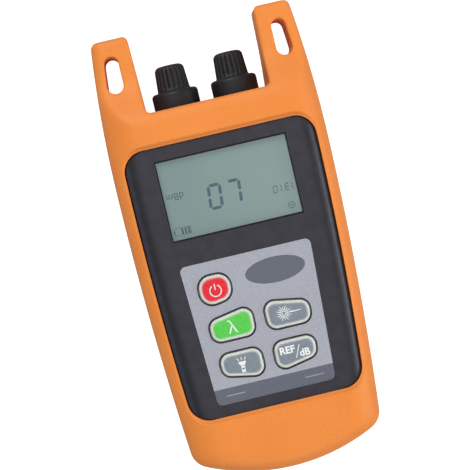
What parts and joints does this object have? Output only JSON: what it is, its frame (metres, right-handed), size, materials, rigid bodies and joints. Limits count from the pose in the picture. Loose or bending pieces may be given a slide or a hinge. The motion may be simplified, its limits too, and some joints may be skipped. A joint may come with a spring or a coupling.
{
  "type": "optical power meter",
  "caption": "Handheld optical power meter in an orange rubber boot with two strap ears, a segment display, five keys and two capped fibre ports.",
  "frame": {"origin": "on the resting plane, under the middle of the boot's outline", "axes": "X across the face to the right, +Y along the meter towards its ports, +Z out of the display"},
  "size_m": [0.0926, 0.193, 0.0357],
  "materials": {
    "boot_rubber": "matte",
    "case_plastic": "fine textured",
    "window_plastic": "clear",
    "lcd_glass": "satin",
    "backlight_plastic": "matte",
    "overlay_film": "fine speckle",
    "key_red": "satin",
    "key_green": "satin",
    "key_grey": "satin",
    "mat_silicone": "matte",
    "board_laminate": "satin",
    "chip_resin": "matte",
    "steel": "plain",
    "nickel": "bright",
    "module_metal": "satin",
    "cap_rubber": "matte",
    "lens_clear": "clear",
    "led_resin": "gloss",
    "cell_sleeve": "gloss"
  },
  "bodies": {
    "meter": {"protective_boot": "boot_rubber", "front_cover": "case_plastic", "rear_cover": "case_plastic", "display_window": "window_plastic", "display_panel": "lcd_glass", "display_backlight": "backlight_plastic", "keypad_overlay": "overlay_film", "key_mat": "mat_silicone", "main_board": "board_laminate", "board_chips": "chip_resin", "board_screws": "steel", "case_screws": "steel", "detector_adaptor": "nickel", "laser_adaptor": "nickel", "detector_nut": "nickel", "laser_nut": "nickel", "detector_module": "module_metal", "laser_module": "module_metal", "lamp_lens": "lens_clear", "lamp_led": "led_resin", "battery_1": "cell_sleeve", "battery_2": "cell_sleeve", "battery_3": "cell_sleeve", "contact_plates": "nickel", "contact_springs": "nickel"},
    "power_key": {"power_key": "key_red"},
    "wavelength_key": {"wavelength_key": "key_green"},
    "laser_key": {"laser_key": "key_grey"},
    "lamp_key": {"lamp_key": "key_grey"},
    "reference_key": {"reference_key": "key_grey"},
    "detector_cap": {"detector_cap": "cap_rubber"},
    "laser_cap": {"laser_cap": "cap_rubber"},
    "battery_door": {"battery_door": "case_plastic"}
  },
  "joints": [
    {"name": "power_key_press", "type": "slide", "parent": "meter", "child": "power_key", "axis": [0, 0, -1], "range_m": [0, 0.0008], "stiffness_N_per_m": 1500},
    {"name": "wavelength_key_press", "type": "slide", "parent": "meter", "child": "wavelength_key", "axis": [0, 0, -1], "range_m": [0, 0.0008], "stiffness_N_per_m": 1500},
    {"name": "laser_key_press", "type": "slide", "parent": "meter", "child": "laser_key", "axis": [0, 0, -1], "range_m": [0, 0.0008], "stiffness_N_per_m": 1500},
    {"name": "lamp_key_press", "type": "slide", "parent": "meter", "child": "lamp_key", "axis": [0, 0, -1], "range_m": [0, 0.0008], "stiffness_N_per_m": 1500},
    {"name": "reference_key_press", "type": "slide", "parent": "meter", "child": "reference_key", "axis": [0, 0, -1], "range_m": [0, 0.0008], "stiffness_N_per_m": 1500},
    {"name": "detector_cap_pull", "type": "slide", "parent": "meter", "child": "detector_cap", "axis": [0, 1, 0], "range_m": [0, 0.07]},
    {"name": "laser_cap_pull", "type": "slide", "parent": "meter", "child": "laser_cap", "axis": [0, 1, 0], "range_m": [0, 0.07]},
    {"name": "battery_door_hinge", "type": "hinge", "parent": "meter", "child": "battery_door", "pos_m": [0, -0.0786, 0.0039], "axis": [-1, 0, 0], "range_deg": [0, 75]}
  ]
}
